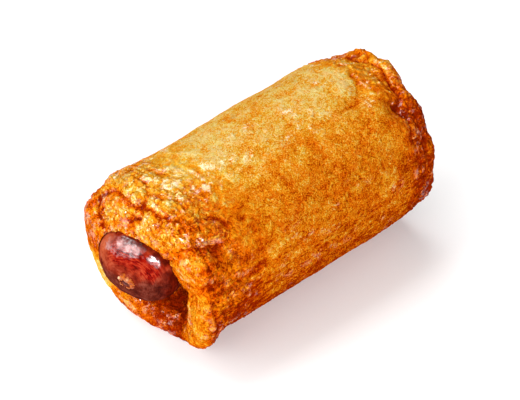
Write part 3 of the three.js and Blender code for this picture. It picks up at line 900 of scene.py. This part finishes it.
def blisters_at(tree, size):
    """Small round blisters about size millimetres across: 1 at their tops and 0 between them."""
    place = node(tree, "ShaderNodeTexCoord").outputs["Object"]
    made = node(tree, "ShaderNodeTexVoronoi", feature="SMOOTH_F1")
    tree.links.new(place, made.inputs["Vector"])
    set_sockets(made, {"Scale": 1.0 / (size * MM), "Smoothness": 0.3})
    return number(tree, "SUBTRACT", 1.0, made.outputs["Distance"])


def ramp(tree, value, stops):
    """A colour ramp on a value, from (place, colour) stops."""
    made = node(tree, "ShaderNodeValToRGB")
    made.color_ramp.interpolation = "LINEAR"
    stops = list(stops)
    elements = made.color_ramp.elements
    while len(elements) < len(stops):
        elements.new(0.5)
    for element, (place, colour) in zip(elements, stops):
        element.position = place
        element.color = (*colour, 1.0)
    tree.links.new(value, made.inputs[0])
    return made.outputs["Color"]


def blend_colours(tree, share, first, second, blend_type="MIX"):
    """The first colour up to a share of 0, and the second from a share of 1."""
    made = node(tree, "ShaderNodeMix", data_type="RGBA", blend_type=blend_type)
    sockets = (made.inputs["Factor"], made.inputs[6], made.inputs[7])
    for socket, value in zip(sockets, (share, first, second)):
        if hasattr(value, "is_linked"):
            tree.links.new(value, socket)
        else:
            socket.default_value = value
    return made.outputs[2]


def raise_skin(tree, shader, height, depth):
    """Lifts a material's skin by a height value, where 1 stands depth millimetres high."""
    bump = node(tree, "ShaderNodeBump")
    set_sockets(bump, {"Strength": 1.0, "Distance": depth * MM})
    tree.links.new(height, bump.inputs["Height"])
    tree.links.new(bump.outputs[0], shader.inputs["Normal"])


# The dough's colours from the palest cream to the darkest brown, by how far it has browned.
CRUST = [
    (0.0, (0.94, 0.68, 0.26)),
    (0.13, (0.9, 0.545, 0.085)),
    (0.26, (0.88, 0.41, 0.028)),
    (0.4, (0.86, 0.3, 0.009)),
    (0.54, (0.81, 0.205, 0.0025)),
    (0.68, (0.71, 0.125, 0.001)),
    (0.84, (0.53, 0.06, 0.0004)),
    (1.0, (0.3, 0.016, 0.0001)),
]

# The dough's patches, from redder to yellower.
WARMTH = [
    (0.36, (1.0, 0.88, 0.8)),
    (0.5, (0.99, 1.0, 1.0)),
    (0.64, (0.97, 1.055, 1.04)),
]


def fried_dough():
    """Blistered, browned skin with fine grain, creased and oily at the ends, streaked on the flank,
    with painted highlights on its crests and painted shade in its creases.
    """
    material, tree, shader = new_material("fried_dough")
    oily = attribute(tree, "oily")
    creased = attribute(tree, "creased")

    # Creases and hairlines at the crumpled ends, and dabs of oil between them, which are also painted
    # paler as painted glints.
    wrinkle = noise_at(tree, 2.4, detail=3.0, roughness=0.55, distortion=1.6)
    crackle = noise_at(tree, 1.3, distortion=1.2)
    crease = number(tree, "MULTIPLY", creases_in(tree, wrinkle, 32.0), creased)
    hairline = number(tree, "MULTIPLY", creases_in(tree, crackle, 26.0), creased)
    wettest = number(tree, "MULTIPLY", creased, rising(tree, oily, 0.35, 0.95))
    oil_dab_and_painted_glint = number(tree, "MULTIPLY", rising(tree, crackle, 0.56, 0.61), wettest)

    # Blisters all over, with less grain where the dough is creased, and streaks along the flank.
    mottle = noise_at(tree, 4.0, detail=3.0, roughness=0.55)
    crinkle = noise_at(tree, 1.9, detail=1.0)
    grain = noise_at(tree, 0.36, roughness=0.7)
    blister = blisters_at(tree, 1.1)
    pimple = blisters_at(tree, 0.8)
    grainy = number(tree, "SUBTRACT", 1.0, number(tree, "MULTIPLY", creased, 0.86))
    grains = number(tree, "MULTIPLY", mixed(tree, (grain, 1.25), (pimple, 0.15)), grainy)
    streak = noise_at(tree, 0.75, distortion=0.3, stretch=(5, 1, 1))
    streaks = number(tree, "SUBTRACT", streak, 0.5)
    streaked = number(tree, "MULTIPLY", streaks, attribute(tree, "flank"))

    # Raised skin is painted paler, as painted highlight, and sunken creases and hairlines browner, as
    # painted shade.
    fine = mixed(tree, (mottle, 0.6), (crinkle, -0.45), (blister, -0.25))
    tone = number(tree, "ADD", attribute(tree, "browning_and_painted_light"), fine)
    tone = added(
        tree, tone, (grains, -1.55), (streaked, -0.9), (crease, 0.3), (hairline, 0.2), (oil_dab_and_painted_glint, -0.27)
    )
    warmth = ramp(tree, noise_at(tree, 3.2, roughness=0.6), WARMTH)
    colour = blend_colours(tree, 1.0, ramp(tree, tone, CRUST), warmth, blend_type="MULTIPLY")
    tree.links.new(colour, shader.inputs["Base Color"])

    relief = mixed(tree, (crinkle, 0.7), (blister, 0.35))
    relief = added(
        tree, relief, (grains, 0.85), (streaked, 0.8), (crease, -0.3), (hairline, -0.14), (oil_dab_and_painted_glint, 0.1)
    )
    raise_skin(tree, shader, relief, depth=0.9)

    # Oil shines on the crests.
    height = mixed(tree, (crinkle, 0.9), (grain, 0.75), (oily, 0.12))
    crest = rising(tree, added(tree, height, (oil_dab_and_painted_glint, 0.07)), 0.08, 0.22)
    tree.links.new(number(tree, "MULTIPLY", crest, oily), shader.inputs["Coat Weight"])
    set_sockets(shader, {
        "Roughness": 0.6, "IOR": 1.45, "Specular IOR Level": 0.0,
        "Coat Roughness": 0.145, "Coat IOR": 1.92,
    })
    return material


# The sausage's colours in each zone, later ones over earlier ones, from its creases to its crests, so
# the creases are painted darker as painted shade and the crests lighter as painted highlight.
SAUSAGE_STOPS = (0.3, 0.5, 0.72)
SAUSAGE_COLOURS = {
    "skin": ((0.13, 0.005, 0.0015), (0.28, 0.02, 0.005), (0.42, 0.06, 0.02)),
    # The underside: painted shade, with a greyish painted reflection of the floor.
    "under": ((0.045, 0.004, 0.002), (0.105, 0.013, 0.006), (0.19, 0.042, 0.026)),
    "tan": ((0.26, 0.028, 0.01), (0.36, 0.06, 0.02), (0.46, 0.11, 0.045)),
    "red": ((0.07, 0.0006, 0.0002), (0.24, 0.003, 0.0006), (0.43, 0.04, 0.011)),
    # Painted shade by the lip's edge and beside the side lip.
    "dark": ((0.04, 0.002, 0.001), (0.09, 0.005, 0.0015), (0.19, 0.013, 0.003)),
}
TIP_CREASES = {"tip_away": ("X", 2.4), "tip_turn": ("Y", 2.6)}  # how closely they follow each other


def tip_creases(tree):
    """Noise whose fine creases run round the sausage's tips."""
    place = node(tree, "ShaderNodeCombineXYZ")
    for name, (axis, closeness) in TIP_CREASES.items():
        tree.links.new(number(tree, "MULTIPLY", attribute(tree, name), closeness), place.inputs[axis])
    made = node(tree, "ShaderNodeTexNoise")
    set_sockets(made, {"Scale": 1.0, "Detail": 3.0, "Distortion": 1.0})
    tree.links.new(place.outputs[0], made.inputs["Vector"])
    return made.outputs["Fac"]


def sausage_skin():
    """Smooth mottled skin, red and tan in zones, darker in zones as painted shade by the lip and below,
    with a patchy gloss where it is wet.
    """
    material, tree, shader = new_material("sausage_skin")
    crease = tip_creases(tree)
    mottle = noise_at(tree, 2.2, detail=4.0, roughness=0.6)
    grain = noise_at(tree, 0.5)

    creasing = number(tree, "ADD", 0.4, number(tree, "MULTIPLY", attribute(tree, "red"), 0.6))
    creases = number(tree, "MULTIPLY", mixed(tree, (crease, 1.0)), creasing)
    # The same creases and mottle that raise the skin also colour it: painted shade in the creases,
    # painted highlight on the crests.
    tone = number(tree, "ADD", mottle, creases)
    colour = None
    for name, colours in SAUSAGE_COLOURS.items():
        shade = ramp(tree, tone, zip(SAUSAGE_STOPS, colours))
        if colour is None:
            colour = shade
        else:
            colour = blend_colours(tree, attribute(tree, name), colour, shade)
    tree.links.new(colour, shader.inputs["Base Color"])

    patchy = number(tree, "ADD", 0.66, mixed(tree, (mottle, 1.6), (grain, 1.4)))
    gloss = number(tree, "MULTIPLY", patchy, attribute(tree, "gloss"))
    tree.links.new(gloss, shader.inputs["Coat Weight"])
    raise_skin(tree, shader, mixed(tree, (crease, 0.7), (mottle, 0.6), (grain, 0.16)), depth=0.3)
    set_sockets(shader, {
        "Roughness": 0.4, "Specular IOR Level": 0.0, "Coat Roughness": 0.22, "Coat IOR": 2.8,
    })
    return material


# The dried casing's colours, and the colour of its painted highlights.
CASING_BROWNS = [
    (0.15, (0.06, 0.004, 0.001)),
    (0.36, (0.22, 0.02, 0.004)),
    (0.52, (0.42, 0.085, 0.003)),
    (0.75, (0.62, 0.18, 0.012)),
]
PAINTED_HIGHLIGHT = (0.92, 0.64, 0.38, 1.0)


def casing_end():
    """Crumbly browned casing, darker in the hollow round the knot, with two pale painted highlights."""
    material, tree, shader = new_material("casing_end")
    crumb = noise_at(tree, 0.7, detail=3.0, roughness=0.6)
    tone = added(tree, crumb, (attribute(tree, "hollow"), -0.4))
    colour = blend_colours(tree, attribute(tree, "painted_highlight"), ramp(tree, tone, CASING_BROWNS), PAINTED_HIGHLIGHT)
    tree.links.new(colour, shader.inputs["Base Color"])
    raise_skin(tree, shader, crumb, depth=0.25)
    set_sockets(shader, {"Roughness": 0.4, "Specular IOR Level": 0.15})
    return material


# ----------------------------------------------------------------------------------- camera and light

# The camera's turn round the roll and rise above it in degrees, how far away it stands and how high
# it aims in millimetres, and its lens. It then slides to its own right and up, or back where that is
# below 0.
VIEW = SimpleNamespace(turn=-42.5, rise=41.0, distance=371.2, aim=23.2, lens=96.0)
VIEW_SLIDE = (-1.124, -1.605)
ROOM_LIGHT = 0.12
ROOM_SEEN = 0.14  # the room is this much lighter where the camera sees it
FLOOR_SIZE = 3.0


def towards(turn, rise):
    """The direction from the roll to something at a turn round it and a rise above the floor."""
    turn, rise = math.radians(turn), math.radians(rise)
    along = math.cos(rise)
    return Vector((math.sin(turn) * along, -math.cos(turn) * along, math.sin(rise)))


def make_camera():
    back = towards(VIEW.turn, VIEW.rise)
    turn = math.radians(VIEW.turn)
    right = Vector((math.cos(turn), math.sin(turn), 0))
    up = back.cross(right)
    slide = right * VIEW_SLIDE[0] + up * VIEW_SLIDE[1]
    data = bpy.data.cameras.new("camera")
    data.lens = VIEW.lens
    data.sensor_width = 36.0
    data.clip_start, data.clip_end = 0.01, 20.0
    camera = bpy.data.objects.new("camera", data)
    camera.location = (Vector((0, 0, VIEW.aim)) + back * VIEW.distance + slide) * MM
    camera.rotation_mode = "QUATERNION"
    camera.rotation_quaternion = (-back).to_track_quat("-Z", "Y")
    bpy.context.scene.collection.objects.link(camera)
    bpy.context.scene.camera = camera


def soft_box(name, turn, rise, distance, width, height, power):
    """A rectangular light that faces the middle of the roll, with its sizes in metres."""
    data = bpy.data.lights.new(name, "AREA")
    data.shape = "RECTANGLE"
    data.size, data.size_y = width, height
    data.energy = power
    light = bpy.data.objects.new(name, data)
    out = towards(turn, rise)
    light.location = out * distance + Vector((0, 0, 0.02))
    light.rotation_mode = "QUATERNION"
    light.rotation_quaternion = (-out).to_track_quat("-Z", "Y")
    bpy.context.scene.collection.objects.link(light)


def make_room():
    world = bpy.data.worlds.new("room")
    world.use_nodes = True
    tree = world.node_tree
    background = tree.nodes["Background"]
    background.inputs["Color"].default_value = (1, 1, 1, 1)
    seen = node(tree, "ShaderNodeLightPath").outputs["Is Camera Ray"]
    strength = number(tree, "ADD", ROOM_LIGHT, number(tree, "MULTIPLY", seen, ROOM_SEEN))
    tree.links.new(strength, background.inputs["Strength"])
    bpy.context.scene.world = world


def make_floor():
    bpy.ops.mesh.primitive_plane_add(size=FLOOR_SIZE, location=(0, 0, 0))
    floor = bpy.context.object
    floor.name = "floor"
    material, tree, shader = new_material("pale_floor")
    set_sockets(shader, {
        "Base Color": (0.93, 0.93, 0.93, 1), "Roughness": 0.8,
        "Emission Color": (1, 1, 1, 1), "Emission Strength": 0.1,
    })
    floor.data.materials.append(material)


def make_studio():
    soft_box("key_box", turn=-98, rise=32, distance=0.7, width=0.8, height=0.5, power=4.15)
    soft_box("front_box", turn=-30, rise=25, distance=0.8, width=0.3, height=0.22, power=4.95)
    soft_box("top_box", turn=176, rise=58, distance=1.1, width=1.3, height=0.7, power=11.5)
    make_room()
    make_floor()
    bpy.context.scene.view_settings.view_transform = "Standard"


# ------------------------------------------------------------------------------------------ the scene


def assemble():
    make_camera()
    make_studio()
    sausage = make_sausage()
    dough = make_dough(tree_of(sausage))
    dough.data.materials.append(fried_dough())
    sausage.data.materials.append(sausage_skin())
    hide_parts("dough")
    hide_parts("sausage")
    knots = [make_casing_end("casing_end_" + name, **end) for name, end in TIPS.items()]
    crumbly = casing_end()
    for knot in knots:
        knot.data.materials.append(crumbly)
    for piece in (dough, sausage, *knots):
        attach(piece, "root")


assemble()
